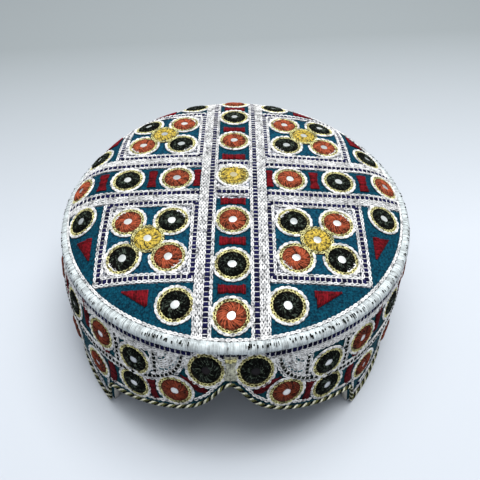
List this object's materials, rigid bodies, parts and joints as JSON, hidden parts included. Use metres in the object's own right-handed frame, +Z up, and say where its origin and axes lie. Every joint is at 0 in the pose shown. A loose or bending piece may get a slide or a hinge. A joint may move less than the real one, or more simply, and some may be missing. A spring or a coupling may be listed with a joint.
{
  "type": "sindhi cap",
  "caption": "Round embroidered cap: domed quilted crown, upright band with an ogee arch over the forehead, mirror roundels, satin piping and a twisted rim cord.",
  "frame": {"origin": "middle of the cap's footprint, on the surface that it rests on", "axes": "+Z up, -Y towards the arch at the front, +X to the right of someone who faces the front"},
  "size_m": [0.1816, 0.191, 0.0757],
  "materials": {
    "crown_cotton": "matte embroidered cotton",
    "band_cotton": "matte embroidered cotton",
    "white_satin": "satin stitch",
    "rim_thread": "twisted cord",
    "cream_thread": "wrapped thread",
    "orange_thread": "radial satin stitch round a mirror",
    "black_thread": "radial satin stitch round a mirror",
    "gold_thread": "metallic thread round a mirror",
    "dark_red_thread": "satin patches between mirror roundels"
  },
  "bodies": {
    "root": {"crown": "crown_cotton", "side_band": "band_cotton", "crown_piping": "white_satin", "rim_cord": "rim_thread", "front_tie": "cream_thread", "centre_roundel": "gold_thread", "arm_roundel_front_1": "orange_thread", "arm_roundel_front_2": "black_thread", "arm_roundel_front_3": "orange_thread", "arm_roundel_right_1": "orange_thread", "arm_roundel_right_2": "black_thread", "arm_roundel_right_3": "orange_thread", "arm_roundel_back_1": "orange_thread", "arm_roundel_back_2": "black_thread", "arm_roundel_back_3": "orange_thread", "arm_roundel_left_1": "orange_thread", "arm_roundel_left_2": "black_thread", "arm_roundel_left_3": "orange_thread", "flower_front_right": "gold_thread", "flower_back_right": "gold_thread", "flower_back_left": "gold_thread", "flower_front_left": "gold_thread", "edge_roundel_front_right_1": "black_thread", "edge_roundel_front_right_2": "black_thread", "edge_roundel_back_right_1": "black_thread", "edge_roundel_back_right_2": "black_thread", "edge_roundel_back_left_1": "black_thread", "edge_roundel_back_left_2": "black_thread", "edge_roundel_front_left_1": "black_thread", "edge_roundel_front_left_2": "black_thread", "front_roundel_right": "black_thread", "front_roundel_left": "black_thread", "upper_roundel_1_right": "black_thread", "upper_roundel_1_left": "black_thread", "upper_roundel_2_right": "orange_thread", "upper_roundel_2_left": "orange_thread", "lower_roundel_1_right": "orange_thread", "lower_roundel_1_left": "orange_thread", "lower_roundel_2_right": "black_thread", "lower_roundel_2_left": "black_thread", "lower_roundel_3_right": "orange_thread", "lower_roundel_3_left": "orange_thread", "upper_row_back": "dark_red_thread", "lower_row_back": "dark_red_thread"}
  },
  "joints": []
}
